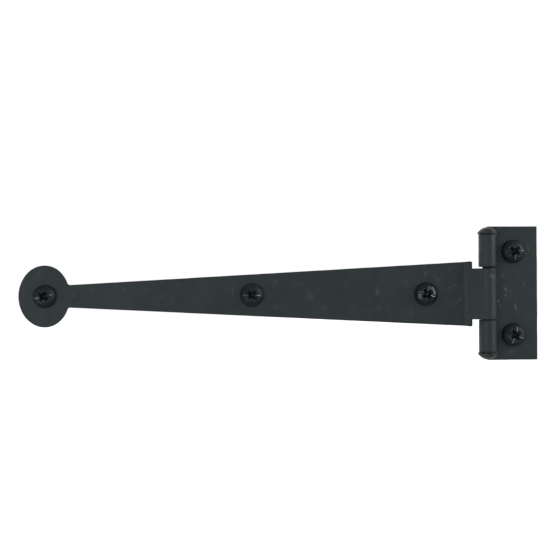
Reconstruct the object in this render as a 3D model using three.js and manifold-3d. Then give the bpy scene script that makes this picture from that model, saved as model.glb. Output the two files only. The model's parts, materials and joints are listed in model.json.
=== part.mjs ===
// T hinge, nominally 7 in and 177.7 mm long: two leaves of 1.2 mm sheet with rolled knuckles, one headed pin and
// five No. 8 round-head wood screws.
// Millimetres. +Z is up along the pin, the strap points to -X, and both leaves lie with their backs on
// y = 0 and their fronts towards -Y. The origin is on the plate's back, midway between its two screws.

import * as THREE from 'three';
import { mergeVertices } from 'three/addons/utils/BufferGeometryUtils.js';
import Module from 'manifold-3d';

const wasm = await Module();
wasm.setup();

// ---- Driving dimensions ----

const SHEET = 1.2;                      // both leaves' thickness
const FAR = 200;                        // longer than anything that is cut

// Pin and knuckles. x is counted from the pin's axis in every outline and section below.
const PIN_X = -9.3;                     // the pin's axis, from the line through the plate's screws
const PIN_HEIGHT = 3.2;                 // the pin's axis in front of the leaves' backs
const PIN_R = 1.7;
const BORE_R = 1.75;
const KNUCKLE_R = BORE_R + SHEET;
const STRAP_KNUCKLE = 8.65;             // half the length of the strap's knuckle
const PLATE_KNUCKLE_IN = 9.0;           // the plate's knuckles run from here...
const PLATE_KNUCKLE_OUT = 20.0;         // ...to here, on both sides of the middle
const ROLL_GAP = 0.35;                  // what a roll's end leaves open to the sheet that it returns to
const HEAD_R = 3.2;
const HEAD_PLAY = 0.1;                  // between a pin head and the knuckle
const HEAD_RIM = 0.85;
const HEAD_BASE_R = 2.95;               // where the dome starts on the rim
const HEAD_DOME = 1.55;

// Plate
const PLATE_HALF = 22.85;
const PLATE_EDGE = 17.65;
const SLOT_EDGE = 2.5;                  // the plate's edge behind the strap's knuckle
const CRANK = THREE.MathUtils.degToRad(5);      // slope of the sheet where it leads into the roll
const HORN_X = 0.65;                    // tips of the plate's corners above and below the pin heads
const SCALLOP_A = 4.1;                  // elliptical notch round a pin head, along X...
const SCALLOP_B = 2.34;                 // ...and along Z

// Strap
const SHOULDER_X = -5.05;               // on the ramp, past the end of the flat strap
const STRAP_HALF_AT_PIN = 11.39;        // the strap's half width if it ran on to the pin's axis
const TAPER = 0.05275;                  // half width lost for each unit of length
const RAMP = THREE.MathUtils.degToRad(40);      // slope of the neck up to the knuckle
const BEND_R = 2.5;                     // inside radius of the bend into the ramp
const STRAP_DROP = 0.17;                // how far the strap hangs below the middle of its play on the pin
const BEAN_X = -151.0;                  // middle of the bean end
const BEAN_OUTER_A = 9.05;              // its half length past the middle...
const BEAN_INNER_A = 8.5;               // ...and towards the pin
const BEAN_B = 10.65;                   // its half height

// Screws: No. 8 x 1 in, round head
const PLATE_SCREW_X = -PIN_X;
const PLATE_SCREW_Z = 14.25;
const STRAP_SCREW_X = [-20.5, -80.1, BEAN_X];
const HOLE_R = 2.35;
const SCREW_HEAD_R = 3.95;
const SCREW_HEAD_RIM = 0.3;
const SCREW_HEAD_H = 2.75;
const SHANK_R = 2.0;
const NECK_START = 7.3;                 // where the plain shank starts to narrow...
const SHANK_END = 8.5;                  // ...to the threaded core
const CORE_R = 1.45;
const CORE_END = 20.0;                  // where the core starts to narrow to the point
const SCREW_LENGTH = 25.4;
const THREAD_R = 2.05;
const THREAD_PITCH = 1.8;
const THREAD_SIDES = 12;                // sides of the shank and steps in one turn of the thread
const THREAD_WIDTH = 0.75;              // the ridge's width at its root
const THREAD_SINK = 0.12;               // how far the ridge's root lies inside the core
const THREAD_LEAD = 0.4;                // how far the thread starts before the shank's end...
const THREAD_STOP = 1.2;                // ...and how far it stops before the point
const THREAD_FADE_IN = 6;               // steps over which the ridge rises at its start...
const THREAD_FADE_OUT = 14;             // ...and sinks at its end
const RECESS_SPAN = 4.1;                // tip to tip of the cross
const RECESS_WING = 1.25;
const RECESS_DEPTH = 2.0;
const RECESS_FLOOR = 0.42;              // the cross's size at its floor, as a share of its mouth

// Sides and steps of the round shapes
const HOLE_SIDES = 24;
const PIN_SIDES = 30;
const DOME_STEPS = 6;                   // along the profile of a pin head's dome
const HEAD_SIDES = 20;
const HEAD_STEPS = 7;                   // along the profile of a screw head's dome
const POINT_STEPS = 5;                  // along the screw's point
const ROLL_STEPS = 30;
const BEND_STEPS = 6;
const SCALLOP_STEPS = 8;
const BEAN_STEPS = 12;                  // in each quarter of the oval end

const BLACK = { color: 0x2c3032, roughness: 0.55, metalness: 0.35 };
const GLOSSY_BLACK = { color: 0x1b1f24, roughness: 0.3, metalness: 0.6 };

// ---- Geometry helpers ----

// A closed geometry as a manifold-3d solid.
function solid(geometry) {
  const bare = geometry.clone();
  bare.deleteAttribute('normal');
  bare.deleteAttribute('uv');
  const merged = mergeVertices(bare, 1e-4);
  const index = merged.index.array;
  const triangles = [];
  for (let i = 0; i < index.length; i += 3) {
    const [a, b, c] = [index[i], index[i + 1], index[i + 2]];
    if (a !== b && b !== c && c !== a) triangles.push(a, b, c);
  }
  return new wasm.Manifold(new wasm.Mesh({
    numProp: 3,
    vertProperties: new Float32Array(merged.attributes.position.array),
    triVerts: new Uint32Array(triangles),
  }));
}

// A manifold-3d solid as a geometry.
function geometryOf(body) {
  const { vertProperties, triVerts } = body.getMesh();
  const geometry = new THREE.BufferGeometry();
  geometry.setAttribute('position', new THREE.BufferAttribute(new Float32Array(vertProperties), 3));
  geometry.setIndex(new THREE.BufferAttribute(new Uint32Array(triVerts), 1));
  geometry.computeVertexNormals();
  return geometry;
}

// Points on an ellipse from one angle to another, both included.
function arc(x, y, a, b, from, to, steps) {
  return Array.from({ length: steps + 1 }, (_, i) => {
    const t = from + (to - from) * i / steps;
    return new THREE.Vector2(x + a * Math.cos(t), y + b * Math.sin(t));
  });
}

// A section seen along the pin, swept along Z. Its points are (x, height in front of the backs).
function alongPin(section) {
  const shape = new THREE.Shape(section.map(p => new THREE.Vector2(p.x, -p.y)));
  return solid(new THREE.ExtrudeGeometry(shape, { depth: 2 * FAR, bevelEnabled: false, curveSegments: 1 })
    .translate(0, 0, -FAR));
}

// An outline seen from the front, as a block that reaches far in front of and behind the leaves.
function fromFront(outline) {
  const shape = new THREE.Shape(outline);
  return solid(new THREE.ExtrudeGeometry(shape, { depth: 2 * FAR, bevelEnabled: false, curveSegments: 1 })
    .translate(0, 0, -FAR).rotateX(Math.PI / 2));
}

// A screw hole's cutter, through a leaf.
const hole = ([x, z]) => solid(
  new THREE.CylinderGeometry(HOLE_R, HOLE_R, FAR, HOLE_SIDES).translate(x, 0, z));

// A leaf: the sheet's section cut to the outline, less a list of other solids.
function leaf(section, outline, cuts) {
  const blank = alongPin(section).intersect(fromFront(outline));
  return geometryOf(cuts.reduce((body, cut) => body.subtract(cut), blank));
}

// ---- Leaves ----

// The sheet's section from the plate's edge, under the pin and round it: its back is the roll's outside.
function plateSection() {
  const start = -Math.PI / 2 - CRANK;
  const end = Math.asin((SHEET + ROLL_GAP - PIN_HEIGHT) / KNUCKLE_R) - 2 * Math.PI;
  const outside = arc(0, PIN_HEIGHT, KNUCKLE_R, KNUCKLE_R, start, end, ROLL_STEPS);
  const inside = arc(0, PIN_HEIGHT, BORE_R, BORE_R, end, start, ROLL_STEPS);
  const down = (p, height) => new THREE.Vector2(p.x + (p.y - height) / Math.tan(CRANK), height);
  return [
    new THREE.Vector2(FAR, 0),
    down(outside[0], 0),
    ...outside,
    ...inside,
    down(inside[ROLL_STEPS], SHEET),
    new THREE.Vector2(FAR, SHEET),
  ];
}

// The plate's outline, with a slot behind the strap's knuckle and a notch round each pin head.
function plateOutline() {
  const tip = Math.acos(HORN_X / SCALLOP_A);
  const upper = [
    new THREE.Vector2(PLATE_EDGE, PLATE_HALF),
    new THREE.Vector2(HORN_X, PLATE_HALF),
    ...arc(0, PLATE_KNUCKLE_OUT, SCALLOP_A, SCALLOP_B, tip, 0, SCALLOP_STEPS),
    new THREE.Vector2(-2 * KNUCKLE_R, PLATE_KNUCKLE_OUT),
    new THREE.Vector2(-2 * KNUCKLE_R, PLATE_KNUCKLE_IN),
    new THREE.Vector2(SLOT_EDGE, PLATE_KNUCKLE_IN),
  ];
  const lower = upper.map(p => new THREE.Vector2(p.x, -p.y)).reverse();
  return [...upper, ...lower];
}

// What is cut from the plate between two places along the pin, so that only the flat leaf stays there.
function rollGap(from, to) {
  const height = 4 * KNUCKLE_R;
  return solid(new THREE.BoxGeometry(height, height, to - from).translate(
    0, -(SHEET + ROLL_GAP + height / 2), (from + to) / 2));
}

// The sheet's section from the bean end, up the ramp to the knuckle, over the pin and round it: its
// front is the roll's outside.
function strapSection() {
  const start = Math.PI / 2 + RAMP;
  const end = start - 2 * Math.PI + Math.acos((BORE_R - ROLL_GAP) / KNUCKLE_R);
  const inside = arc(0, PIN_HEIGHT, BORE_R, BORE_R, start, end, ROLL_STEPS);
  const outside = arc(0, PIN_HEIGHT, KNUCKLE_R, KNUCKLE_R, end, start, ROLL_STEPS);
  const top = outside[ROLL_STEPS];
  const cornerX = top.x - (top.y - SHEET) / Math.tan(RAMP);
  const bendX = cornerX - BEND_R * Math.tan(RAMP / 2);
  const bend = (r, from, to) => arc(bendX, SHEET + BEND_R, r, r, from, to, BEND_STEPS);
  const flat = -Math.PI / 2;
  return [
    new THREE.Vector2(-FAR, 0),
    ...bend(BEND_R + SHEET, flat, flat + RAMP),
    ...inside,
    ...outside,
    ...bend(BEND_R, flat + RAMP, flat),
    new THREE.Vector2(-FAR, SHEET),
  ];
}

function strapOutline() {
  const half = x => STRAP_HALF_AT_PIN + TAPER * x;
  const join = Math.asin(half(BEAN_X + BEAN_INNER_A) / BEAN_B);
  const upper = [
    new THREE.Vector2(2 * KNUCKLE_R, STRAP_KNUCKLE),
    new THREE.Vector2(SHOULDER_X, STRAP_KNUCKLE),
    new THREE.Vector2(SHOULDER_X, half(SHOULDER_X)),
    ...arc(BEAN_X, 0, BEAN_INNER_A, BEAN_B, join, Math.PI / 2, BEAN_STEPS),
    ...arc(BEAN_X, 0, BEAN_OUTER_A, BEAN_B, Math.PI / 2, Math.PI, BEAN_STEPS).slice(1),
  ];
  const lower = upper.slice(0, -1).map(p => new THREE.Vector2(p.x, -p.y)).reverse();
  return [...upper, ...lower];
}

// ---- Pin ----

// A shaft with a rimmed, domed head at each end, along Z, with its middle at the origin.
function pin() {
  const seat = PLATE_KNUCKLE_OUT + HEAD_PLAY;
  const ball = (HEAD_BASE_R ** 2 + HEAD_DOME ** 2) / (2 * HEAD_DOME);
  const open = Math.asin(HEAD_BASE_R / ball);
  const dome = arc(0, seat + HEAD_RIM + HEAD_DOME - ball, ball, ball,
    Math.PI / 2 - open, Math.PI / 2, DOME_STEPS);
  dome[DOME_STEPS].x = 0;
  const upper = [
    new THREE.Vector2(PIN_R, seat),
    new THREE.Vector2(HEAD_R, seat),
    new THREE.Vector2(HEAD_R, seat + HEAD_RIM),
    ...dome,
  ];
  const lower = upper.map(p => new THREE.Vector2(p.x, -p.y)).reverse();
  return geometryOf(solid(new THREE.LatheGeometry([...lower, ...upper], PIN_SIDES))).rotateX(Math.PI / 2);
}

// ---- Screws ----

// The core's radius at a depth under the head.
function coreRadius(y) {
  if (y < SHANK_END) return SHANK_R;
  if (y < CORE_END) return CORE_R;
  return CORE_R * Math.sqrt(Math.max(0, (SCREW_LENGTH - y) / (SCREW_LENGTH - CORE_END)));
}

// The helical ridge of the thread, three points to a section, fading in and out at its ends.
function threadRidge() {
  const first = SHANK_END - THREAD_LEAD;
  const last = SCREW_LENGTH - THREAD_STOP;
  const steps = Math.round((last - first) / THREAD_PITCH * THREAD_SIDES);
  const points = [];
  const faces = [];
  for (let i = 0; i <= steps; i++) {
    const angle = 2 * Math.PI * i / THREAD_SIDES;
    const y = first + (last - first) * i / steps;
    const fade = Math.min(1, i / THREAD_FADE_IN, (steps - i) / THREAD_FADE_OUT);
    const core = Math.min(CORE_R, coreRadius(y));
    const root = core - THREAD_SINK;
    const crest = core + (THREAD_R - CORE_R) * fade - THREAD_SINK * (1 - fade) / 2;
    const half = THREAD_WIDTH / 2;
    for (const [r, dy] of [[root, -half], [crest, 0], [root, half]]) {
      points.push(r * Math.cos(angle), y + dy, -r * Math.sin(angle));
    }
    if (i === 0) continue;
    const a = 3 * (i - 1);
    for (const [p, q] of [[0, 1], [1, 2], [2, 0]]) {
      faces.push(a + p, a + 3 + q, a + q, a + p, a + 3 + p, a + 3 + q);
    }
  }
  const end = 3 * steps;
  faces.push(0, 1, 2, end, end + 2, end + 1);
  const geometry = new THREE.BufferGeometry();
  geometry.setAttribute('position', new THREE.Float32BufferAttribute(points, 3));
  geometry.setIndex(faces);
  return geometry;
}

// The cross recess, wide at the head's top and narrow at its floor.
function recess() {
  const [long, short] = [RECESS_SPAN / 2, RECESS_WING / 2];
  const quarter = [[long, -short], [long, short], [short, short]];
  const cross = [0, 1, 2, 3].flatMap(k => quarter.map(([x, y]) =>
    new THREE.Vector2(x, y).rotateAround(new THREE.Vector2(), k * Math.PI / 2)));
  const geometry = new THREE.ExtrudeGeometry(new THREE.Shape(cross),
    { depth: RECESS_DEPTH, bevelEnabled: false }).rotateX(-Math.PI / 2);
  const at = geometry.attributes.position;
  for (let i = 0; i < at.count; i++) {
    const share = at.getY(i) > RECESS_DEPTH / 2 ? RECESS_FLOOR : 1;
    at.setXYZ(i, at.getX(i) * share, at.getY(i), at.getZ(i) * share);
  }
  return geometry.translate(0, -SCREW_HEAD_H, 0);
}

// One screw along Y, with its head's underside at y = 0 and its point at +y.
function screw() {
  const head = arc(0, -SCREW_HEAD_RIM, SCREW_HEAD_R, SCREW_HEAD_H - SCREW_HEAD_RIM,
    -Math.PI / 2, 0, HEAD_STEPS);
  head[0].x = 0;
  const taper = Array.from({ length: POINT_STEPS }, (_, i) => {
    const y = CORE_END + (SCREW_LENGTH - CORE_END) * (i + 1) / POINT_STEPS;
    return new THREE.Vector2(coreRadius(y), y);
  });
  const shank = [
    new THREE.Vector2(0, -SCREW_HEAD_RIM),
    new THREE.Vector2(SHANK_R, -SCREW_HEAD_RIM),
    new THREE.Vector2(SHANK_R, NECK_START),
    new THREE.Vector2(CORE_R, SHANK_END),
    new THREE.Vector2(CORE_R, CORE_END),
    ...taper,
  ];
  head.push(new THREE.Vector2(SCREW_HEAD_R, 0), new THREE.Vector2(0, 0));
  const turned = solid(new THREE.LatheGeometry(head, HEAD_SIDES)).subtract(solid(recess()))
    .add(solid(new THREE.LatheGeometry(shank, THREAD_SIDES)));
  return geometryOf(turned.add(solid(threadRidge())));
}

// ---- Assembly ----

const hinge = new THREE.Group();

function place(name, geometry, look, [x, y, z], turn = 0) {
  const mesh = new THREE.Mesh(geometry, new THREE.MeshStandardMaterial({ ...look, flatShading: true }));
  mesh.name = name;
  mesh.position.set(x, y, z);
  mesh.rotation.y = THREE.MathUtils.degToRad(turn);
  hinge.add(mesh);
}

const plateScrews = [[PLATE_SCREW_X, PLATE_SCREW_Z], [PLATE_SCREW_X, -PLATE_SCREW_Z]];
const strapScrews = STRAP_SCREW_X.map(x => [x, -STRAP_DROP]);

const plateCuts = [...plateScrews.map(hole), rollGap(PLATE_KNUCKLE_OUT, FAR),
  rollGap(-FAR, -PLATE_KNUCKLE_OUT), rollGap(-PLATE_KNUCKLE_IN, PLATE_KNUCKLE_IN)];
const strapCuts = STRAP_SCREW_X.map(x => hole([x, 0]));

place('plate', leaf(plateSection(), plateOutline(), plateCuts), BLACK, [PIN_X, 0, 0]);
place('strap', leaf(strapSection(), strapOutline(), strapCuts), BLACK, [PIN_X, 0, -STRAP_DROP]);
place('hinge_pin', pin(), BLACK, [PIN_X, -PIN_HEIGHT, 0]);

// Each screw is driven home at its own angle.
const screws = [
  ['plate_screw_top', plateScrews[0], -50],
  ['plate_screw_bottom', plateScrews[1], -25],
  ['strap_screw_neck', strapScrews[0], -30],
  ['strap_screw_middle', strapScrews[1], -45],
  ['strap_screw_end', strapScrews[2], -58],
];
for (const [name, [x, z], turn] of screws) {
  place(name, screw(), GLOSSY_BLACK, [PIN_X + x, -SHEET, z], turn);
}

export default hinge;
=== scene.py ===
"""The T hinge's looks: two powder-coated leaves of dented sheet, a peened pin and five black screws.

Shapes are worked out in millimetres and made in metres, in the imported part's own frame: +X towards the
plate's free edge, +Z up along the pin, and the leaves' fronts towards -Y.
"""

import json
import math

import bmesh
import bpy
import numpy as np
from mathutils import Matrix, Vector, noise
from mathutils.geometry import delaunay_2d_cdt
from mathutils.kdtree import KDTree


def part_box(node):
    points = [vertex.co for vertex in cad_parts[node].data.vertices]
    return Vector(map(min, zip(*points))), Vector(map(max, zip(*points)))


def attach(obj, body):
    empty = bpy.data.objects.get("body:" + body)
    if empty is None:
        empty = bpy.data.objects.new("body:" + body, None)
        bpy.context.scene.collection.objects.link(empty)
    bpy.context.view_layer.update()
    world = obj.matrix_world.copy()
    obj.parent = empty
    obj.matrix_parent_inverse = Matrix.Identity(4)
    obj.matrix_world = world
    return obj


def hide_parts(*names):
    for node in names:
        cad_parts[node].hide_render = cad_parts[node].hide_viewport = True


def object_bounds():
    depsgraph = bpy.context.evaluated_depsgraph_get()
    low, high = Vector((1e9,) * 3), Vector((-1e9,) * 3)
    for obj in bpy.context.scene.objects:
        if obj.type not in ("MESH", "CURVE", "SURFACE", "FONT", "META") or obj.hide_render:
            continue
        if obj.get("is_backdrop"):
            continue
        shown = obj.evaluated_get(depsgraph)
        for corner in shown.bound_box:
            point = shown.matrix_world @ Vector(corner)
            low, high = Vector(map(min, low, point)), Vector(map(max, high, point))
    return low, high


MM = 0.001

# ---- Sizes in millimetres, as in the part; x is counted from the pin's axis ----

SHEET = 1.2
BORE_R = 1.75
KNUCKLE_R = BORE_R + SHEET
ROLL_R = (BORE_R + KNUCKLE_R) / 2       # the middle of the rolled sheet
STRAP_KNUCKLE = 8.65
PLATE_KNUCKLE_IN = 9.0
PLATE_KNUCKLE_OUT = 20.0
ROLL_GAP = 0.35
HEAD_PLAY = 0.1

PIN_R = 1.7
HEAD_R = 3.2
HEAD_RIM = 0.85
HEAD_BASE_R = 2.95
HEAD_DOME = 1.55

SLOT_EDGE = 2.5
CRANK = math.radians(5)
CRANK_R = 6.0                           # the plate's sheet turns into its slope on this radius
HORN_X = 0.65
SCALLOP_A = 4.1
SCALLOP_B = 2.34

SHOULDER_X = -5.05                      # on the ramp, past the end of the flat strap
STRAP_HALF_AT_PIN = 11.39
TAPER = 0.05275
RAMP = math.radians(40)
BEND_R = 2.5
BEAN_X = -151.0
BEAN_OUTER_A = 9.05
BEAN_INNER_A = 8.5
BEAN_B = 10.65

HOLE_R = 2.35
SCREW_HEAD_R = 3.95
SCREW_HEAD_RIM = 0.3
SCREW_HEAD_H = 2.75
SHANK_R = 2.0
NECK_START = 7.3                        # where the shank narrows to the core
SHANK_END = 8.5
CORE_R = 1.45
CORE_END = 20.0
SCREW_LENGTH = 25.4
THREAD_R = 2.05
THREAD_PITCH = 1.8
RECESS_SPAN = 4.1
RECESS_WING = 1.25
RECESS_DEPTH = 2.0

# Each screw's turn, anticlockwise as seen from the front.
SCREW_TURNS = {
    "plate_screw_top": 50,
    "plate_screw_bottom": 25,
    "strap_screw_neck": 30,
    "strap_screw_middle": 45,
    "strap_screw_end": 58,
}
SCREW_ROUGHNESS = {
    "plate_screw_top": 0.55,
    "plate_screw_bottom": 0.6,
    "strap_screw_neck": 0.22,
    "strap_screw_middle": 0.55,
    "strap_screw_end": 0.5,
}

# How much each of the four ticks is worn bright, anticlockwise from the one nearest +X before the turn.
TICK_WEAR = {
    "plate_screw_top": (0.35, 0.4, 0.9, 1.0),
    "plate_screw_bottom": (1.0, 0.3, 1.0, 0.9),
    "strap_screw_neck": (0.5, 0.5, 0.3, 0.8),
    "strap_screw_middle": (0.2, 1.0, 0.25, 0.9),
    "strap_screw_end": (0.25, 1.0, 0.4, 0.9),
}

# ---- Fineness of the meshes ----

EDGE_R = 0.15                           # rounding of every cut edge
EDGE_STEPS = 4
OUTLINE_STEP = 0.35
FRONT_STEP = 0.55
BACK_STEP = 0.9
MARK_STEP = 0.22
ROLL_STEP = 0.24
ROW_SHARE = 0.87                        # spacing of a staggered grid's rows, as a share of its columns'
INNER_GAP = 0.12                        # kept between a face's inner points and its edges
MARK_REACH = (1.35, 1.5)                # reach of a mark's close points, in its half lengths and half widths
LATHE_COLUMNS = 72
DOME_ROWS = 19                          # along a pin head's dome
SCREW_COLUMNS = 64

# ---- The frame ----

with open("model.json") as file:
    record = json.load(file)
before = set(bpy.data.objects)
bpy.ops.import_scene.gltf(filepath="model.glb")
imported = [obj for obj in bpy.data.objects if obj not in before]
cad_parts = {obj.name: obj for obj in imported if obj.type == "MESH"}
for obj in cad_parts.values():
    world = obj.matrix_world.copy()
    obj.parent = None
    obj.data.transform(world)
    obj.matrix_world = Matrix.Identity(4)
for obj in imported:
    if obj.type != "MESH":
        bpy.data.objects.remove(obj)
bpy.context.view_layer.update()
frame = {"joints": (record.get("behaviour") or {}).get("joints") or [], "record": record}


def body_holding(node):
    return next(b for b, nodes in frame["record"]["behaviour"]["bodies"].items() if node in nodes)


swing = next(j for j in frame["joints"] if j["name"] == "swing")
PIN_X = swing["pos_m"][0] / MM
PIN_HEIGHT = -swing["pos_m"][1] / MM    # the pin's axis in front of the leaves' backs
plate_low, plate_high = (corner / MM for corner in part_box("plate"))
PLATE_EDGE = plate_high.x - PIN_X
PLATE_HALF = plate_high.z


def middle(node):
    """(x, z) of a node's box, with x from the pin's axis."""
    low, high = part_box(node)
    return ((low.x + high.x) / 2 / MM - PIN_X, (low.z + high.z) / 2 / MM)


# ---- Marks in the sheet: (x, z, half length, half width, turn in degrees, depth) in millimetres ----

ON_ROLL = 2.5                           # a place on the front of the strap's rolled knuckle

STRAP_MARKS = [
    (-20.4, 6.8, 1.5, 0.45, 90, 0.17),
    (-16.0, 4.7, 1.2, 0.52, 62, 0.17),
    (-17.3, 5.8, 1.1, 0.45, 75, 0.13),
    (-12.1, 8.5, 1.0, 0.65, 60, 0.13),
    (-12.1, 2.1, 0.9, 0.65, 20, 0.15),
    (-10.5, 2.8, 0.8, 0.59, -20, 0.11),
    (-9.7, -2.3, 1.7, 0.65, 38, 0.26),
    (-25.3, -6.1, 0.8, 0.65, 70, 0.15),
    (-5.9, -6.2, 1.4, 0.65, 80, 0.13),
    (-27.4, 3.8, 0.7, 0.78, 0, 0.10),
    (-37.0, 1.1, 1.9, 0.59, 84, 0.22),
    (-36.8, 3.1, 1.3, 0.59, 12, 0.19),
    (-34.9, 4.7, 1.3, 0.52, 4, 0.11),
    (-36.5, -4.5, 0.9, 0.78, 30, 0.11),
    (-33.6, -4.5, 1.0, 0.59, 84, 0.13),
    (-47.5, 3.9, 1.0, 1.04, 0, 0.11),
    (-55.7, -4.9, 1.2, 0.91, 65, 0.15),
    (-59.9, -0.8, 1.9, 1.04, -60, 0.17),
    (-61.2, -0.4, 1.2, 0.65, 80, 0.10),
    (-64.0, 3.8, 1.3, 0.45, 38, 0.13),
    (-66.0, 4.3, 0.8, 0.78, 0, 0.10),
    (-72.1, 4.3, 1.0, 1.10, 0, 0.21),
    (-72.3, -4.2, 1.0, 0.78, 20, 0.11),
    (-86.9, 1.1, 1.8, 0.52, 86, 0.10),
    (-102.0, -3.7, 1.1, 0.45, 4, 0.11),
    (-105.6, 3.6, 0.9, 0.78, 50, 0.11),
    (-107.7, -1.8, 1.4, 0.59, 82, 0.11),
    (-109.6, -3.3, 1.3, 0.45, 3, 0.11),
    (-111.2, -0.6, 1.4, 1.17, 30, 0.10),
    (-124.3, 1.9, 0.9, 0.91, 10, 0.13),
    (-124.8, -1.2, 0.9, 0.85, 0, 0.13),
    (-127.0, 0.3, 1.2, 0.39, -4, 0.17),
    (-135.1, 2.0, 1.3, 0.91, 20, 0.10),
    (-142.0, -0.2, 1.1, 0.78, 70, 0.10),
    (-153.6, 8.0, 1.0, 0.72, 25, 0.15),
    (-158.6, 0.2, 1.4, 0.52, 88, 0.10),
    (ON_ROLL, 6.4, 1.4, 0.85, 85, 0.26),
]
PLATE_MARKS = [
    (7.2, 1.5, 1.4, 0.72, -51, 0.31),
    (7.4, -0.3, 1.2, 0.72, 67, 0.31),
    (4.9, -2.5, 1.1, 0.80, 60, 0.26),
    (5.1, -4.1, 0.7, 0.65, 0, 0.18),
    (10.5, -4.6, 2.0, 0.58, -81, 0.20),
    (13.4, 3.0, 1.3, 0.87, 75, 0.13),
    (9.2, -19.8, 1.0, 0.87, 30, 0.16),
    (14.9, 15.5, 1.5, 0.65, -70, 0.12),
    (6.4, 6.3, 1.1, 0.72, 80, 0.13),
]

RUBBED_AT = 0.12                        # depth of a mark at which its paint is rubbed most
LIP_SHARE = 0.22                        # height of the lip that a mark raises, as a share of its depth
LIP_MIDDLE = 1.45                       # squared distance of the lip's crest, where the hollow's edge is at 1


# ---- Smooth fields ----

def wavy(x, z, size, layer=0):
    """Smooth noise from -1 to 1 with bumps about size across, the same on every run."""
    points = zip(np.ravel(x) / size, np.ravel(z) / size)
    return np.array([noise.noise(Vector((a, b, 7.3 * layer + 0.5))) for a, b in points])


def dents(x, z, marks):
    """Depth of a list of marks: smooth oval hollows with a raised lip of sheet round each."""
    depth = np.zeros(len(x))
    for mx, mz, half_length, half_width, turn, deep in marks:
        c, s = math.cos(math.radians(turn)), math.sin(math.radians(turn))
        along = ((x - mx) * c + (z - mz) * s) / half_length
        across = ((z - mz) * c - (x - mx) * s) / half_width
        away = along ** 2 + across ** 2
        depth += deep * np.clip(1 - away, 0, 1) ** 1.5
        depth -= LIP_SHARE * deep * np.clip(1 - ((away - LIP_MIDDLE) / (LIP_MIDDLE - 1)) ** 2, 0, 1)
    return depth


def inside_marks(points, marks):
    """Which points lie in the ovals of any of a list of marks."""
    x, z = points.T
    found = np.zeros(len(x), bool)
    for mx, mz, half_length, half_width, turn in marks:
        c, s = math.cos(math.radians(turn)), math.sin(math.radians(turn))
        along = ((x - mx) * c + (z - mz) * s) / half_length
        across = ((z - mz) * c - (x - mx) * s) / half_width
        found |= along ** 2 + across ** 2 < 1
    return found


def hammered(x, z):
    """Shallow undulation of the whole sheet, never above its nominal face."""
    broad = wavy(x, z, 9.0, 1)
    close = wavy(x, z, 3.2, 2)
    return 0.05 + 0.035 * broad + 0.014 * close


# ---- Outlines in the flat blank ----

def arc(x, z, a, b, start, end, steps):
    """Points on an ellipse between two angles, both included, as corners that need no rounding."""
    turns = np.linspace(start, end, steps + 1)
    return [(x + a * math.cos(t), z + b * math.sin(t), 0.0) for t in turns]


def rounded(corners, steps=6):
    """A closed outline through (x, z, radius) corners, with each corner rounded to its radius."""
    points = []
    for i, (x, z, radius) in enumerate(corners):
        here = np.array((x, z))
        if radius == 0:
            points.append(here)
            continue
        back = np.array(corners[i - 1][:2]) - here
        on = np.array(corners[(i + 1) % len(corners)][:2]) - here
        back /= np.linalg.norm(back)
        on /= np.linalg.norm(on)
        half = math.acos(np.clip(back @ on, -1, 1)) / 2
        centre = here + (back + on) / np.linalg.norm(back + on) * radius / math.sin(half)
        first = here + back * radius / math.tan(half) - centre
        last = here + on * radius / math.tan(half) - centre
        swept = math.pi - 2 * half
        for k in range(steps + 1):
            share = k / steps
            blend = (math.sin((1 - share) * swept) * first + math.sin(share * swept) * last) / math.sin(swept)
            points.append(centre + blend)
    return np.array(points)


def refined(points, step):
    """A closed outline with its long sides divided."""
    result = []
    for a, b in zip(points, np.roll(points, -1, axis=0)):
        count = max(1, round(np.linalg.norm(b - a) / step))
        result.extend(a + (b - a) * k / count for k in range(count))
    return np.array(result)


def inward(points):
    """Unit vectors into the material at each point of a closed outline that keeps it on the left."""
    step = np.roll(points, -1, axis=0) - np.roll(points, 1, axis=0)
    step /= np.linalg.norm(step, axis=1)[:, None]
    return np.stack([-step[:, 1], step[:, 0]], axis=1)


def circle(x, z, r, count):
    """A hole's edge, clockwise, so that the material is on its left."""
    t = -2 * np.pi * np.arange(count) / count
    return np.stack([x + r * np.cos(t), z + r * np.sin(t)], axis=1)


def within(points, loops):
    """Which points lie in the region that the loops bound, by counting crossings."""
    x, z = points[:, 0][:, None], points[:, 1][:, None]
    crossings = np.zeros(len(points), int)
    for loop in loops:
        after = np.roll(loop, -1, axis=0)
        (ax, az), (bx, bz) = loop.T, after.T
        spans = (az > z) != (bz > z)
        rise = np.where(bz == az, 1.0, bz - az)
        crossings += (spans & (x < ax + (z - az) * (bx - ax) / rise)).sum(axis=1)
    return crossings % 2 == 1


def hexagonal(low, high, step_x, step_z):
    """A staggered grid of points over a rectangle."""
    rows = np.arange(low[1], high[1], step_z)
    columns = np.arange(low[0], high[0], step_x)
    return np.array([(x + step_x / 2 * (k % 2), z) for k, z in enumerate(rows) for x in columns])


def clear_of(points, loops, gap):
    """The points that are at least gap away from every point of the loops."""
    near = np.concatenate(loops)
    tree = KDTree(len(near))
    for i, (x, z) in enumerate(near):
        tree.insert((x, z, 0), i)
    tree.balance()
    return np.array([p for p in points if tree.find((p[0], p[1], 0))[2] > gap])


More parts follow.
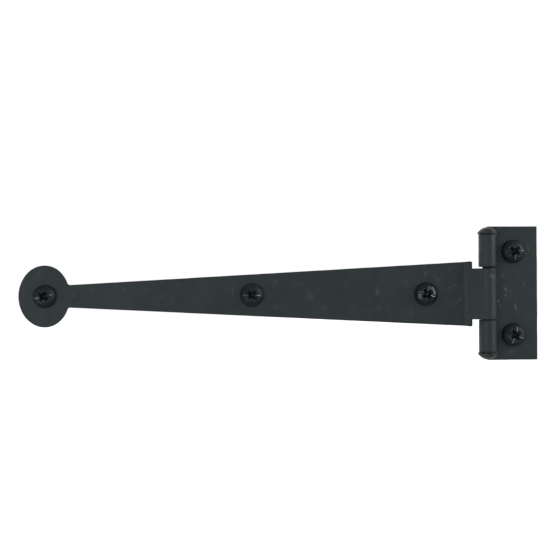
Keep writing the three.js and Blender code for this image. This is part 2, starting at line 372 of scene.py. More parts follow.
def triangulated(loops, inner):
    """Triangles over the region between closed loops, through the inner points.

    Indices count the loops' points first, in order, and then the inner ones.
    """
    points = np.concatenate([*loops, inner])
    edges, first = [], 0
    for loop in loops:
        n = len(loop)
        edges.extend((first + i, first + (i + 1) % n) for i in range(n))
        first += n
    _, _, faces, origin, _, _ = delaunay_2d_cdt([Vector(p) for p in points], edges, [], 0, 1e-7, True)
    triangles = np.array([[origin[v][0] for v in face] for face in faces])
    corners = points[triangles]
    side_a = corners[:, 1] - corners[:, 0]
    side_b = corners[:, 2] - corners[:, 0]
    turned = side_a[:, 0] * side_b[:, 1] - side_a[:, 1] * side_b[:, 0] < 0
    triangles[turned] = triangles[turned][:, ::-1]
    return triangles[within(corners.mean(axis=1), loops)]


# ---- Mesh helpers ----

def add_object(name, points, faces, weld=0.0, **shares):
    """A smooth-shaded mesh from points in millimetres, with named shares from 0 to 1 at each point."""
    mesh = bpy.data.meshes.new(name)
    mesh.from_pydata((np.asarray(points) * MM).tolist(), [], faces)
    for share, values in shares.items():
        mesh.attributes.new(share, "FLOAT", "POINT").data.foreach_set("value", values.astype(np.float32))
    if weld:
        shape = bmesh.new()
        shape.from_mesh(mesh)
        bmesh.ops.remove_doubles(shape, verts=shape.verts, dist=weld * MM)
        bmesh.ops.recalc_face_normals(shape, faces=shape.faces)
        shape.to_mesh(mesh)
        shape.free()
    mesh.shade_smooth()
    made = bpy.data.objects.new(name, mesh)
    bpy.context.scene.collection.objects.link(made)
    return made


def strips(rows):
    """Quads between successive closed rows of vertex numbers."""
    faces = []
    for upper, lower in zip(rows, rows[1:]):
        n = len(upper)
        faces.extend((upper[i], lower[i], lower[(i + 1) % n], upper[(i + 1) % n]) for i in range(n))
    return faces


def fan(row, middle_point):
    """Triangles from a closed row of vertex numbers to the vertex in its middle."""
    n = len(row)
    return [(row[i], middle_point, row[(i + 1) % n]) for i in range(n)]


class Rows:
    """A mesh's (x, z, height) points, gathered row by row."""

    def __init__(self):
        self.points = []
        self.count = 0

    def add(self, places, height):
        """Adds (x, z) places, all at one height or each at its own, and gives their vertex numbers."""
        self.points.append(np.column_stack([places, np.broadcast_to(height, len(places))]))
        first = self.count
        self.count += len(places)
        return range(first, self.count)

    def add_middle(self, height):
        """Adds one point on the axis and gives its vertex number."""
        return self.add(np.zeros((1, 2)), height)[0]


# ---- Leaves ----

def folded(u, start, side, pieces):
    """Where places u along the flat blank lie once it is bent: x, height and the front's direction.

    The sheet is flat up to start. Going on towards side it follows the pieces, (length, turn) pairs,
    where a positive turn bends it to the front.
    """
    along = side * (u - start)
    x = along.copy()
    height = np.full(len(u), SHEET / 2)
    angle = np.zeros(len(u))
    at_x, at_height, at_angle, done = 0.0, SHEET / 2, 0.0, 0.0
    for length, turn in pieces:
        past = along > done
        d = np.minimum(along[past] - done, length)
        bend = turn / length
        if turn == 0:
            x[past] = at_x + d * math.cos(at_angle)
            height[past] = at_height + d * math.sin(at_angle)
            angle[past] = at_angle
            at_x += length * math.cos(at_angle)
            at_height += length * math.sin(at_angle)
        else:
            x[past] = at_x + (np.sin(at_angle + bend * d) - math.sin(at_angle)) / bend
            height[past] = at_height - (np.cos(at_angle + bend * d) - math.cos(at_angle)) / bend
            angle[past] = at_angle + bend * d
            at_x += (math.sin(at_angle + turn) - math.sin(at_angle)) / bend
            at_height -= (math.cos(at_angle + turn) - math.cos(at_angle)) / bend
            at_angle += turn
        done += length
    return start + side * x, height, -side * np.sin(angle), np.cos(angle)


def leaf(name, outline, holes, bend, roll, front_depth, back_depth, marks):
    """A leaf of sheet with rounded edges: its blank is meshed flat and then bent.

    roll is the (low, high) stretch of the blank that is rolled, and gets closer points.
    """
    loops = [outline, *holes]
    inward_of = [inward(loop) for loop in loops]
    turns = np.linspace(math.pi / 2, 0, EDGE_STEPS + 1)
    front_rows = [(EDGE_R * (1 - math.cos(t)), SHEET / 2 - EDGE_R * (1 - math.sin(t))) for t in turns]
    rows = front_rows + [(inset, -height) for inset, height in reversed(front_rows)]

    flat_points, offsets, edge_shade_mask, loop_rows = [], [], [], []
    for loop, into in zip(loops, inward_of):
        numbers = []
        for inset, offset in rows:
            first = sum(len(p) for p in flat_points)
            flat_points.append(loop + inset * into)
            offsets.append(np.full(len(loop), offset))
            edge_shade_mask.append(np.ones(len(loop)))
            numbers.append(range(first, first + len(loop)))
        loop_rows.append(numbers)
    faces = [face for numbers in loop_rows for face in strips(numbers)]

    for row, offset, step, fine in ((0, SHEET / 2, FRONT_STEP, True), (-1, -SHEET / 2, BACK_STEP, False)):
        rings = [loop + rows[row][0] * into for loop, into in zip(loops, inward_of)]
        inner = inner_points(rings, step, roll, marks if fine else [])
        triangles = triangulated(rings, inner)
        first = sum(len(p) for p in flat_points)
        numbers = np.array([n for numbers in loop_rows for n in numbers[row]]
                           + list(range(first, first + len(inner))))
        if not fine:
            triangles = triangles[:, ::-1]
        faces.extend(numbers[triangles].tolist())
        flat_points.append(inner)
        offsets.append(np.full(len(inner), offset))
        edge_shade_mask.append(np.zeros(len(inner)))

    u, z = np.concatenate(flat_points).T
    offset = np.concatenate(offsets)
    offset -= front_depth(u, z) * np.clip(offset / (SHEET / 2), 0, 1)
    offset += back_depth(u, z) * np.clip(-offset / (SHEET / 2), 0, 1)
    x, height, across, forward = folded(u, *bend)
    points = np.stack([PIN_X + x + offset * across, -(height + offset * forward), z], axis=1)
    rubbed = dents(u, z, marks) * np.clip(offset / (SHEET / 2), 0, 1)
    # "edge" marks the points of the rounded edges, whose paint is darkened with painted shade.
    return add_object(name, points, faces, worn=np.clip(np.abs(rubbed) / RUBBED_AT, 0, 1),
                      edge=np.concatenate(edge_shade_mask))


def inner_points(rings, step, roll, marks):
    """Points inside a face: close on the roll and in the marks, and wider elsewhere."""
    low, high = rings[0].min(axis=0), rings[0].max(axis=0)
    grid = hexagonal(low, high, step, step * ROW_SHARE)
    grid = grid[(grid[:, 0] < roll[0]) | (grid[:, 0] > roll[1])]
    rolled = hexagonal((roll[0], low[1]), (roll[1], high[1]), ROLL_STEP, step)
    in_marks = [(m[0], m[1], m[2] * MARK_REACH[0], m[3] * MARK_REACH[1], m[4]) for m in marks]
    grid = np.concatenate([grid, rolled])
    grid = grid[~inside_marks(grid, in_marks)]
    taken = []
    for i, (x, z, reach, *_) in enumerate(in_marks):
        points = hexagonal((x - reach, z - reach), (x + reach, z + reach), MARK_STEP, MARK_STEP * ROW_SHARE)
        own = inside_marks(points, in_marks[i:i + 1])
        earlier = inside_marks(points, in_marks[:i])
        taken.append(points[own & ~earlier])
    grid = np.concatenate([grid, *taken])
    grid = grid[within(grid, rings)]
    return clear_of(grid, rings, INNER_GAP)


def frayed(outline, share_at, amount):
    """An outline whose cut edges wander inwards a little, by up to amount times what share_at gives for x."""
    x, z = outline.T
    share = np.clip(share_at(x), 0, 1)
    depth = amount * share * (0.5 + 0.5 * wavy(x, z, 5.0, 4))
    return outline + inward(outline) * depth[:, None]


def strap():
    """The long leaf, with its ramp, its one knuckle and its oval end."""
    corner_rise = PIN_HEIGHT + ROLL_R * math.cos(RAMP) - SHEET / 2
    corner_x = -ROLL_R * math.sin(RAMP) - corner_rise / math.tan(RAMP)
    bend_r = BEND_R + SHEET / 2
    tangent = bend_r * math.tan(RAMP / 2)
    ramp = corner_rise / math.sin(RAMP) - tangent
    rolled = 2 * math.pi - math.acos((BORE_R - ROLL_GAP) / KNUCKLE_R)
    pieces = [(bend_r * RAMP, RAMP), (ramp, 0), (ROLL_R * rolled, -rolled)]
    start = corner_x - tangent
    roll_start = start + bend_r * RAMP + ramp
    end = roll_start + ROLL_R * rolled

    def half(x):
        return STRAP_HALF_AT_PIN + TAPER * x

    join = math.asin(half(BEAN_X + BEAN_INNER_A) / BEAN_B)
    inner_arc = arc(BEAN_X, 0, BEAN_INNER_A, BEAN_B, join, math.pi / 2, 24)
    outer_arc = arc(BEAN_X, 0, BEAN_OUTER_A, BEAN_B, math.pi / 2, math.pi, 30)
    join_x, join_z, _ = inner_arc[0]
    shoulder = start + bend_r * RAMP + (SHOULDER_X - corner_x) / math.cos(RAMP) - tangent
    upper = [
        (end, STRAP_KNUCKLE, 0.4),
        (shoulder, STRAP_KNUCKLE, 0.35),
        (shoulder, half(SHOULDER_X), 0.45),
        (join_x, join_z, 0.9),
        *inner_arc[4:],
        *outer_arc[1:],
    ]
    lower = [(x, -z, r) for x, z, r in reversed(upper[:-1])]
    outline = refined(rounded([*upper, *lower]), OUTLINE_STEP)
    outline = frayed(outline, lambda x: (shoulder - 1 - x) / 3, 0.07) + (0, middle("strap")[1])
    holes = [circle(*middle(n), HOLE_R, 40) for n in SCREW_TURNS if n.startswith("strap")]

    def front_depth(u, z):
        return hammered(u, z) + dents(u, z, STRAP_MARKS)

    def back_depth(u, z):
        return np.where(u < start, 0.4, 0) * hammered(u, z + 50)

    return leaf("strap_finished", outline, holes, (start, 1, pieces), (start, end),
                front_depth, back_depth, STRAP_MARKS)


def plate():
    """The cross leaf, with a knuckle above and below its slot and a notch round each pin head."""
    rise = PIN_HEIGHT - ROLL_R * math.cos(CRANK) - SHEET / 2
    corner_x = -ROLL_R * math.sin(CRANK) + rise / math.tan(CRANK)
    tangent = CRANK_R * math.tan(CRANK / 2)
    slope = rise / math.sin(CRANK) - tangent
    rolled = 3 * math.pi / 2 - CRANK - math.asin((SHEET + ROLL_GAP - PIN_HEIGHT) / KNUCKLE_R)
    pieces = [(CRANK_R * CRANK, CRANK), (slope, 0), (ROLL_R * rolled, rolled)]
    start = corner_x + tangent
    roll_start = start - CRANK_R * CRANK - slope
    end = roll_start - ROLL_R * rolled
    tip = math.acos(HORN_X / SCALLOP_A)
    notch = arc(0, PLATE_KNUCKLE_OUT, SCALLOP_A, SCALLOP_B, tip, 0, 16)
    upper = [
        (PLATE_EDGE, PLATE_HALF, 0.4),
        (HORN_X, PLATE_HALF, 0.2),
        (*notch[0][:2], 0.2),
        *notch[2:-2],
        (*notch[-1][:2], 0.35),
        (end, PLATE_KNUCKLE_OUT, 0.4),
        (end, PLATE_KNUCKLE_IN, 0.4),
        (SLOT_EDGE, PLATE_KNUCKLE_IN, 0.45),
    ]
    lower = [(x, -z, r) for x, z, r in reversed(upper)]
    outline = refined(rounded([*upper, *lower]), OUTLINE_STEP)
    outline = frayed(outline, lambda x: (x - 6) / 3, 0.08)
    holes = [circle(*middle(n), HOLE_R, 40) for n in SCREW_TURNS if n.startswith("plate")]

    def front_depth(u, z):
        return np.where(u > start, 1, 0) * hammered(u + 200, z) + dents(u, z, PLATE_MARKS)

    def back_depth(u, z):
        return np.where(u > start, 0.4, 1) * hammered(u + 200, z + 50)

    return leaf("plate_finished", outline, holes, (start, -1, pieces), (end, start),
                front_depth, back_depth, PLATE_MARKS)


# ---- Pin ----

HEAD_SOFT = 0.14                        # rounding of a pin head's corners
BEATEN = 0.07                           # how deep the hammering of a pin head goes
PEENED = 0.04                           # how far the middle of a pin head's dome is sunk


def hinge_pin():
    """The pin, turned, with its two heads beaten slightly out of round."""
    seat = PLATE_KNUCKLE_OUT + HEAD_PLAY
    ball = (HEAD_BASE_R ** 2 + HEAD_DOME ** 2) / (2 * HEAD_DOME)
    open_angle = math.asin(HEAD_BASE_R / ball)
    top = seat + HEAD_RIM + HEAD_DOME
    soft = HEAD_SOFT
    profile = [(PIN_R, 0), (PIN_R, seat), (HEAD_R - soft, seat), (HEAD_R - soft * 0.3, seat + soft * 0.3),
               (HEAD_R, seat + soft), (HEAD_R, seat + HEAD_RIM / 2), (HEAD_R, seat + HEAD_RIM - soft),
               (HEAD_R - soft * 0.3, seat + HEAD_RIM - soft * 0.3)]
    for k in range(DOME_ROWS):
        t = open_angle * (1 - k / DOME_ROWS)
        profile.append((ball * math.sin(t), top - ball + ball * math.cos(t)))
    profile = [(r, -z) for r, z in reversed(profile[1:])] + profile
    turns = 2 * np.pi * np.arange(LATHE_COLUMNS) / LATHE_COLUMNS
    points, rows = [], []
    for r, z in profile:
        rows.append(range(len(points), len(points) + LATHE_COLUMNS))
        beaten = 0.0
        if abs(z) > seat + soft:
            beaten = BEATEN * min(1, (abs(z) - seat) / HEAD_RIM)
        for t in turns:
            x, y = r * math.cos(t), r * math.sin(t)
            dip = beaten * (0.5 + 0.5 * noise.noise(Vector((x * 0.9, y * 0.9, z * 0.5))))
            shrink = 1 - 0.6 * dip / HEAD_R
            points.append((PIN_X + x * shrink, y * shrink - PIN_HEIGHT, z - math.copysign(dip, z)))
    faces = strips(rows)
    for row, end_z in ((rows[0], -top), (rows[-1], top)):
        points.append((PIN_X, -PIN_HEIGHT, end_z - math.copysign(PEENED, end_z)))
        faces.extend(fan(row, len(points) - 1))
    return add_object("hinge_pin_finished", points, faces, weld=1e-4)


# ---- Screws ----

def cross(half_span, half_wing):
    """The recess's outline at one level, anticlockwise, always with the same number of points."""
    tip = min(0.16, half_wing * 0.45)
    quarter = [(half_span, -half_wing, tip), (half_span, half_wing, tip), (half_wing, half_wing, 0.3)]
    corners = []
    for k in range(4):
        c, s = round(math.cos(k * math.pi / 2)), round(math.sin(k * math.pi / 2))
        corners.extend((c * x - s * z, s * x + c * z, r) for x, z, r in quarter)
    return rounded(corners, steps=4)


def dome_height(r):
    """Height of the head's dome above its underside, at a distance from the screw's axis."""
    share = np.sqrt(np.clip(1 - (r / SCREW_HEAD_R) ** 2, 0, 1))
    return SCREW_HEAD_RIM + (SCREW_HEAD_H - SCREW_HEAD_RIM) * share


TICK_FROM = 1.3                         # a tick's distance from the axis, from here...
TICK_TO = 3.1                           # ...to here
TICK_HALF = 0.16                        # half its width
TICK_DEPTH = 0.12
TICK_FADE = 0.15                        # length over which its ends rise


def tick_depth(x, z, shares=(1, 1, 1, 1)):
    """Four fine radial grooves halfway between the wings, each one to its share of the depth."""
    depth = np.zeros(len(x))
    for k, share in enumerate(shares):
        c, s = math.cos(math.radians(45 + 90 * k)), math.sin(math.radians(45 + 90 * k))
        along, across = x * c + z * s, (z * c - x * s) / TICK_HALF
        ends = np.clip((along - TICK_FROM) / TICK_FADE, 0, 1) * np.clip((TICK_TO - along) / TICK_FADE, 0, 1)
        depth += share * TICK_DEPTH * ends * np.clip(1 - across ** 2, 0, 1)
    return depth


def tick_points():
    """Close points along the ticks, for the mesh of the head's face to follow."""
    points = []
    for k in range(4):
        c, s = math.cos(math.radians(45 + 90 * k)), math.sin(math.radians(45 + 90 * k))
        for along in np.arange(TICK_FROM - 0.06, TICK_TO + 0.1, 0.12):
            for across in np.linspace(-1.25, 1.25, 7) * TICK_HALF:
                points.append((along * c - across * s, along * s + across * c))
    return np.array(points)


FACE_SHARE = 0.9                        # the head is meshed as a face out to this share of its radius...
FACE_R = SCREW_HEAD_R * FACE_SHARE      # ...and turned beyond it
FACE_STEPS = (0.24, 0.21)               # spacing of the face's points, along x and z
TICK_GAP = 0.12                         # kept between those points and the ticks'
FACE_GAP = 0.07                         # kept between the face's points and its edges
LIP = 0.09                              # how far the recess's rounded lip reaches past its mouth
THREAD_START = SHANK_END - 0.4
THREAD_END = SCREW_LENGTH - 1.0
THREAD_FADE_IN = 2.5
THREAD_FADE_OUT = 3.5
RIDGE_HALF = 0.24                       # half the ridge's width, as a share of the pitch

# The recess below its lip: share of its depth, and share of its span and of its wing's width there.
RECESS_LEVELS = ((0.45, 0.72, 0.84), (0.8, 0.42, 0.78), (1.0, 0.34, 0.62))
RECESS_SINK = 0.12                      # how far its middle lies below its floor

# The rows in one turn of the thread, as shares of the pitch; the crest is at 0.5.
THREAD_PHASES = (0.0, 0.14, 0.26, 0.34, 0.42, 0.5, 0.58, 0.66, 0.74, 0.86)


def face_points(loops):
    """Points inside the head's face, closest along the ticks."""
    ticks = tick_points()
    inner = hexagonal((-FACE_R, -FACE_R), (FACE_R, FACE_R), *FACE_STEPS)
    inner = inner[tick_depth(*inner.T) == 0]
    inner = np.concatenate([clear_of(inner, [ticks], TICK_GAP), ticks])
    inner = inner[within(inner, loops)]
    return clear_of(inner, loops, FACE_GAP)


def recess_faces(rows, mouth, on_dome):
    """The recess: its sides stand steeply and its wings' floors rise to their tips.

    The mouth's points are in rows already, clockwise, after those of the face's rim.
    """
    half_span, half_wing = RECESS_SPAN / 2, RECESS_WING / 2
    levels = [[SCREW_COLUMNS + (len(mouth) - 1 - i) for i in range(len(mouth))]]
    for widening, down in ((0.03, 0.03), (-0.02, 0.12)):
        level = cross(half_span + widening, half_wing + widening)
        levels.append(rows.add(level, on_dome(level) - down))
    for share, span, wing in RECESS_LEVELS:
        level = cross(half_span * span, half_wing * wing)
        levels.append(rows.add(level, SCREW_HEAD_H - RECESS_DEPTH * share))
    middle_point = rows.add_middle(SCREW_HEAD_H - RECESS_DEPTH - RECESS_SINK)
    return strips(levels) + fan(levels[-1], middle_point)


def shank_faces(rows, unit):
    """The head's side, its underside and the plain shank, turned, from the face's rim down."""
    profile = []
    for k in range(1, 6):
        t = math.acos(FACE_SHARE) * (1 - k / 5)
        profile.append((SCREW_HEAD_R * math.cos(t), float(dome_height(SCREW_HEAD_R * math.cos(t)))))
    profile += [(SCREW_HEAD_R, 0.13), (SCREW_HEAD_R - 0.04, 0.04), (SCREW_HEAD_R - 0.14, 0.0),
                (SHANK_R + 0.3, 0.0), (SHANK_R + 0.08, -0.06), (SHANK_R, -0.25), (SHANK_R, -NECK_START)]
    profile.append((core_radius(THREAD_START), -THREAD_START))
    return strips([range(SCREW_COLUMNS)] + [rows.add(unit * r, height) for r, height in profile])


def thread_faces(rows, unit):
    """The thread and the point. The thread's rows run along the helix, so that one row is the crest."""
    angles = 2 * np.pi * np.arange(SCREW_COLUMNS + 1) / SCREW_COLUMNS
    helix = []
    for turn in range(-1, math.ceil((THREAD_END - THREAD_START) / THREAD_PITCH) + 1):
        for phase in THREAD_PHASES:
            down = THREAD_START + THREAD_PITCH * (turn + phase + angles / (2 * np.pi))
            down = np.clip(down, THREAD_START, THREAD_END)
            core = np.array([core_radius(d) for d in down])
            rising = np.clip((down - THREAD_START) / THREAD_FADE_IN, 0, 1)
            sinking = np.clip((THREAD_END - down) / THREAD_FADE_OUT, 0, 1)
            ridge = max(0.0, 1 - abs(phase - 0.5) / RIDGE_HALF)
            r = core + (THREAD_R - CORE_R) * (rising * sinking) * ridge
            helix.append(rows.add(np.column_stack([r * np.cos(angles), r * np.sin(angles)]), -down))
    faces = []
    for upper, lower in zip(helix, helix[1:]):
        faces.extend((upper[i], lower[i], lower[i + 1], upper[i + 1]) for i in range(SCREW_COLUMNS))
    tip = [helix[-1][:-1]]
    for k in range(1, 5):
        down = THREAD_END + (SCREW_LENGTH - THREAD_END) * (1 - (1 - k / 5) ** 2)
        tip.append(rows.add(unit * core_radius(down), -down))
    return faces + strips(tip) + fan(tip[-1], rows.add_middle(-SCREW_LENGTH))


def screw(node, layer):
    """One screw: domed head with a cross recess and four ticks, plain shank, rolled thread and point."""
    rim = circle(0, 0, FACE_R, SCREW_COLUMNS)[::-1]
    unit = rim / FACE_R
    mouth = cross(RECESS_SPAN / 2 + LIP, RECESS_WING / 2 + LIP)
    loops = [rim, mouth[::-1]]
    inner = face_points(loops)
    top = np.concatenate([*loops, inner])

    def on_dome(points):
        x, z = points.T
        height = dome_height(np.hypot(x, z)) - tick_depth(x, z)
        return height - 0.03 * (1 + wavy(x + 20 * layer, z, 0.95, 5))

    rows = Rows()
    rows.add(top, on_dome(top))
    faces = [
        *triangulated(loops, inner).tolist(),
        *recess_faces(rows, mouth, on_dome),
        *shank_faces(rows, unit),
        *thread_faces(rows, unit),
    ]
    turn = math.radians(SCREW_TURNS[node])
    x, z, height = np.concatenate(rows.points).T
    worn = worn_share(x, z, height, top, mouth, TICK_WEAR[node])
    at_x, at_z = middle(node)
    placed = np.column_stack([
        PIN_X + at_x + x * math.cos(turn) - z * math.sin(turn),
        -SHEET - height,
        at_z + x * math.sin(turn) + z * math.cos(turn),
    ])
    return add_object(node + "_finished", placed, faces, weld=2e-4, worn=worn)


LIP_WEAR = 0.45                         # how worn the recess's lip is...
LIP_WEAR_REACH = 0.16                   # ...and how far from it the wear reaches
WORN_DOWN_TO = 0.6                      # how far below the head's top anything is worn


def worn_share(x, z, height, top, mouth, tick_wear):
    """How far the paint is worn at each point: along the recess's lip and in the ticks."""
    worn = np.zeros(len(x))
    worn[:len(top)] = np.clip(tick_depth(*top.T, tick_wear) / TICK_DEPTH, 0, 1)
    tree = KDTree(len(mouth))
    for i, (mx, mz) in enumerate(mouth):
        tree.insert((mx, mz, 0), i)
    tree.balance()
    from_lip = np.array([tree.find((a, b, 0))[2] for a, b in zip(x, z)])
    outside = height > SCREW_HEAD_H - WORN_DOWN_TO
    on_lip = LIP_WEAR * np.clip(1 - from_lip / LIP_WEAR_REACH, 0, 1)
    return np.maximum(worn, np.where(outside, on_lip, 0))


def core_radius(down):
    """The shank's or core's radius at a depth under the head."""
    if down < NECK_START:
        return SHANK_R
    if down < SHANK_END:
        return SHANK_R + (CORE_R - SHANK_R) * (down - NECK_START) / (SHANK_END - NECK_START)
    if down < CORE_END:
        return CORE_R
    return CORE_R * math.sqrt(max(0.0, (SCREW_LENGTH - down) / (SCREW_LENGTH - CORE_END)))


# ---- Materials ----

RUBBED_PAINT = (0.12, 0.145, 0.15)
# Painted shade: the colour that darkens the rounded cut edges, standing in for the shade that falls on them.
EDGE_PAINTED_SHADE = (0.012, 0.016, 0.018)
BARE_STEEL = (0.50, 0.53, 0.54)


class Nodes:
    """A material's node tree, with short ways to add and join nodes."""

    def __init__(self, name):
        self.material = bpy.data.materials.new(name)
        self.material.use_nodes = True
        self.tree = self.material.node_tree
        self.shader = self.tree.nodes["Principled BSDF"]
        self.place = self.add("ShaderNodeTexCoord").outputs["Object"]

    def add(self, kind, **settings):
        node = self.tree.nodes.new(kind)
        for key, value in settings.items():
            if key in node.inputs:
                node.inputs[key].default_value = value
            else:
                setattr(node, key, value)
        return node

    def join(self, output, target):
        self.tree.links.new(output, target)

    def noise(self, scale, detail=3.0, roughness=0.5):
        made = self.add("ShaderNodeTexNoise", Scale=scale, Detail=detail, Roughness=roughness)
        self.join(self.place, made.inputs["Vector"])
        return made.outputs["Fac"]

    def ramp(self, factor, low, high, start, end):
        """A number between start and end while factor goes from low to high."""
        made = self.add("ShaderNodeMapRange")
        for key, value in (("From Min", low), ("From Max", high), ("To Min", start), ("To Max", end)):
            made.inputs[key].default_value = value
        self.join(factor, made.inputs["Value"])
        return made.outputs["Result"]

    def mix(self, factor, a, b):
        """A colour between a and b, each one a colour or another node's output."""
        made = self.add("ShaderNodeMix", data_type="RGBA")
        self.join(factor, made.inputs["Factor"])
        for key, value in (("A", a), ("B", b)):
            socket = next(s for s in made.inputs if s.name == key and s.type == "RGBA")
            if isinstance(value, tuple):
                socket.default_value = (*value, 1)
            else:
                self.join(value, socket)
        return next(s for s in made.outputs if s.type == "RGBA")

    def bumps(self, *heights):
        """Chained bumps from (height output, distance in metres) pairs, into the shader's normal."""
        normal = None
        for height, distance in heights:
            made = self.add("ShaderNodeBump", Strength=1.0, Distance=distance)
            self.join(height, made.inputs["Height"])
            if normal is not None:
                self.join(normal, made.inputs["Normal"])
            normal = made.outputs["Normal"]
        self.join(normal, self.shader.inputs["Normal"])


def powder_coat(name, dark, light, rough):
    """Matt black powder coat: mottled, faintly green-grey, with orange peel and fine light specks.

    It is rubbed paler where "worn" says, and darkened with painted shade on the cut edges, where "edge" says.
    """
    n = Nodes(name)
    mottle = n.ramp(n.noise(70, 4, 0.55), 0.35, 0.65, 0, 1)
    cloud = n.ramp(n.noise(420, 3), 0.35, 0.7, 0, 0.5)
    base = n.mix(mottle, dark, light)
    base = n.mix(cloud, base, tuple(1.25 * c for c in light))
    specks = n.ramp(n.noise(5200, 1), 0.69, 0.76, 0, 0.55)
    base = n.mix(specks, base, (0.13, 0.14, 0.14))
    rubbed = n.add("ShaderNodeAttribute", attribute_name="worn").outputs["Fac"]
    patchy = n.add("ShaderNodeMath", operation="MULTIPLY")
    n.join(rubbed, patchy.inputs[0])
    n.join(n.ramp(n.noise(900, 2), 0.35, 0.65, 0.2, 0.75), patchy.inputs[1])
    base = n.mix(patchy.outputs[0], base, RUBBED_PAINT)
    # Painted shade: the rounded cut edges are darkened in the colour itself.
    edge = n.add("ShaderNodeAttribute", attribute_name="edge").outputs["Fac"]
    base = n.mix(n.ramp(edge, 0, 1, 0, 0.6), base, EDGE_PAINTED_SHADE)
    n.join(base, n.shader.inputs["Base Color"])
    roughness = n.ramp(n.noise(260, 3), 0.3, 0.7, rough - 0.05, rough + 0.06)
    n.join(roughness, n.shader.inputs["Roughness"])
    n.shader.inputs["Specular IOR Level"].default_value = 0.5
    n.bumps((n.noise(240, 2), 0.00008), (n.noise(1500, 2), 0.000018), (n.noise(5200, 2), 0.000005))
    return n.material


def japanned(name, rough, peel):
    """Glossy blue-black paint over a rough casting, worn to bright steel where "worn" says."""
    n = Nodes(name)
    tone = n.ramp(n.noise(900, 3), 0.35, 0.65, 0, 1)
    base = n.mix(tone, (0.002, 0.012, 0.018), (0.006, 0.025, 0.035))
    specks = n.ramp(n.noise(3600, 1), 0.70, 0.77, 0, 0.5)
    base = n.mix(specks, base, (0.09, 0.10, 0.11))
    worn = n.add("ShaderNodeAttribute", attribute_name="worn").outputs["Fac"]
    patchy = n.add("ShaderNodeMath", operation="MULTIPLY")
    n.join(worn, patchy.inputs[0])
    n.join(n.ramp(n.noise(700, 2), 0.38, 0.6, 0.6, 1.6), patchy.inputs[1])
    bare = n.ramp(patchy.outputs[0], 0.35, 0.9, 0, 1)
    base = n.mix(bare, base, BARE_STEEL)
    n.join(base, n.shader.inputs["Base Color"])
    n.join(bare, n.shader.inputs["Metallic"])
    n.join(n.ramp(n.noise(1500, 3), 0.3, 0.7, rough - 0.05, rough + 0.1), n.shader.inputs["Roughness"])
    n.shader.inputs["Specular IOR Level"].default_value = 0.5
    n.bumps((n.noise(800, 2), peel), (n.noise(2300, 2), peel * 0.4))
    return n.material


# ---- Studio ----

SCENE_MIDDLE = Vector((-0.08, 0, 0))
FLOOR_DROP = 0.13                       # metres from the hinge's lowest point to the floor


def soft_box(name, sideways, rise, distance, size, radiance):
    """A rectangular light of size metres, aimed at the hinge's middle.

    sideways is its angle from the front towards +X and rise its angle above the hinge, in degrees.
    """
    away = Vector((
        math.sin(math.radians(sideways)) * math.cos(math.radians(rise)),
        -math.cos(math.radians(sideways)) * math.cos(math.radians(rise)),
        math.sin(math.radians(rise)),
    ))
    data = bpy.data.lights.new(name, "AREA")
    data.shape = "RECTANGLE"
    data.size, data.size_y = size
    data.energy = radiance * math.pi * size[0] * size[1]
    data.color = (0.97, 0.99, 1.0)
    light = bpy.data.objects.new(name, data)
    light.location = SCENE_MIDDLE + distance * away
    light.rotation_euler = away.to_track_quat("Z", "Y").to_euler()
    bpy.context.scene.collection.objects.link(light)
    return light


# The surroundings' brightness against the share of the way from the front (0) round to the back (1).
SURROUNDINGS = ((0.0, 0.26), (0.3, 0.26), (0.47, 0.2), (0.56, 0.3), (0.7, 0.85), (1.0, 0.95))


def studio():
    """White to the camera. The hinge is lit by two soft boxes and by grey surroundings, brightest behind it.

    The right box is left out of diffuse light, so that it draws highlights without lighting the paint.
    """
    world = bpy.data.worlds.new("studio")
    bpy.context.scene.world = world
    world.use_nodes = True
    tree = world.node_tree
    background = tree.nodes["Background"]
    place = tree.nodes.new("ShaderNodeTexCoord")
    split = tree.nodes.new("ShaderNodeSeparateXYZ")
    tree.links.new(place.outputs["Generated"], split.inputs[0])
    ramp = tree.nodes.new("ShaderNodeValToRGB")
    shift = tree.nodes.new("ShaderNodeMapRange")
    shift.inputs["From Min"].default_value = -1
    tree.links.new(split.outputs["Y"], shift.inputs["Value"])
    tree.links.new(shift.outputs["Result"], ramp.inputs["Fac"])
    stops = ramp.color_ramp.elements
    stops[0].position, stops[1].position = SURROUNDINGS[0][0], SURROUNDINGS[-1][0]
    for position, _ in SURROUNDINGS[1:-1]:
        stops.new(position)
    for stop, (_, grey) in zip(stops, SURROUNDINGS):
        stop.color = (grey, grey, grey, 1)
    rays = tree.nodes.new("ShaderNodeLightPath")
    mix = tree.nodes.new("ShaderNodeMix")
    mix.data_type = "RGBA"
    tree.links.new(rays.outputs["Is Camera Ray"], mix.inputs["Factor"])
    a, b = (next(s for s in mix.inputs if s.name == key and s.type == "RGBA") for key in "AB")
    tree.links.new(ramp.outputs["Color"], a)
    b.default_value = (1, 1, 1, 1)
    tree.links.new(next(s for s in mix.outputs if s.type == "RGBA"), background.inputs["Color"])
    background.inputs["Strength"].default_value = 1.0

    bpy.context.scene.view_settings.view_transform = "Standard"
    soft_box("right_box", 68, 18, 1.4, (0.6, 1.0), 4.4).visible_diffuse = False
    soft_box("left_box", -38, -14, 1.4, (1.0, 1.0), 2.7)


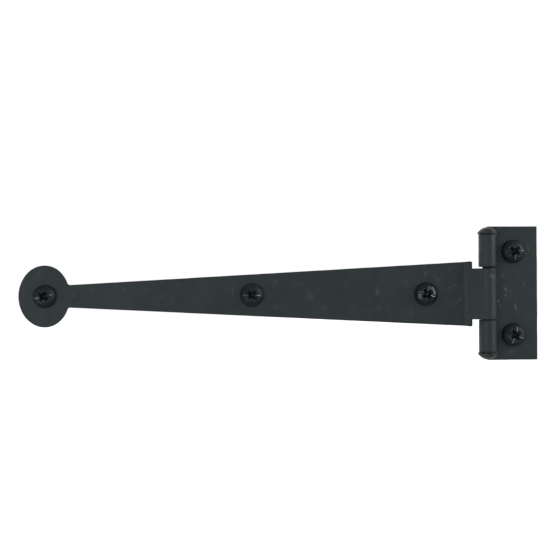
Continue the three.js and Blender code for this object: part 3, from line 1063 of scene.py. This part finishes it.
def floor():
    """A pale floor below the hinge, which neither lights it nor shows in its reflections."""
    low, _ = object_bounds()
    bpy.ops.mesh.primitive_plane_add(size=6, location=(SCENE_MIDDLE.x, 0, low.z - FLOOR_DROP))
    ground = bpy.context.object
    ground.name = "floor"
    n = Nodes("pale_floor")
    tone = n.ramp(n.noise(3, 2), 0.3, 0.7, 0, 1)
    n.join(n.mix(tone, (0.86, 0.86, 0.86), (0.9, 0.9, 0.9)), n.shader.inputs["Base Color"])
    n.shader.inputs["Roughness"].default_value = 0.9
    n.shader.inputs["Emission Color"].default_value = (1, 1, 1, 1)
    n.shader.inputs["Emission Strength"].default_value = 0.75
    ground.data.materials.append(n.material)
    ground.visible_diffuse = False
    ground.visible_glossy = False
    ground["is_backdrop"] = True


CAMERA_PLACE = (-0.0912, -0.2674, 0.00505)      # in metres, close in front of the hinge
CAMERA_ROLL = math.radians(0.36)
CAMERA_SHIFT = 0.06


def camera():
    """Square on to the leaves' fronts, and rolled slightly."""
    data = bpy.data.cameras.new("camera")
    data.sensor_width = 36
    data.lens = 50
    data.shift_x = CAMERA_SHIFT
    data.clip_start = 0.01
    data.clip_end = 10
    eye = bpy.data.objects.new("camera", data)
    eye.location = CAMERA_PLACE
    eye.rotation_euler = (math.radians(90), CAMERA_ROLL, 0)
    bpy.context.scene.collection.objects.link(eye)
    bpy.context.scene.camera = eye


# ---- Putting it together ----

def dress(piece, node, material):
    """Paints a piece, joins it to its node's body and has it stand for the node."""
    piece.data.materials.append(material)
    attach(piece, body_holding(node))
    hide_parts(node)


camera()
leaf_paint = powder_coat("forged_black", (0.039, 0.058, 0.063), (0.048, 0.070, 0.075), 0.57)
pin_paint = powder_coat("pin_black", (0.026, 0.034, 0.037), (0.034, 0.043, 0.046), 0.45)
dress(strap(), "strap", leaf_paint)
dress(plate(), "plate", leaf_paint)
dress(hinge_pin(), "hinge_pin", pin_paint)
for layer, screw_node in enumerate(SCREW_TURNS):
    paint = japanned(screw_node + "_black", SCREW_ROUGHNESS[screw_node], 0.00008)
    dress(screw(screw_node, layer), screw_node, paint)
studio()
floor()
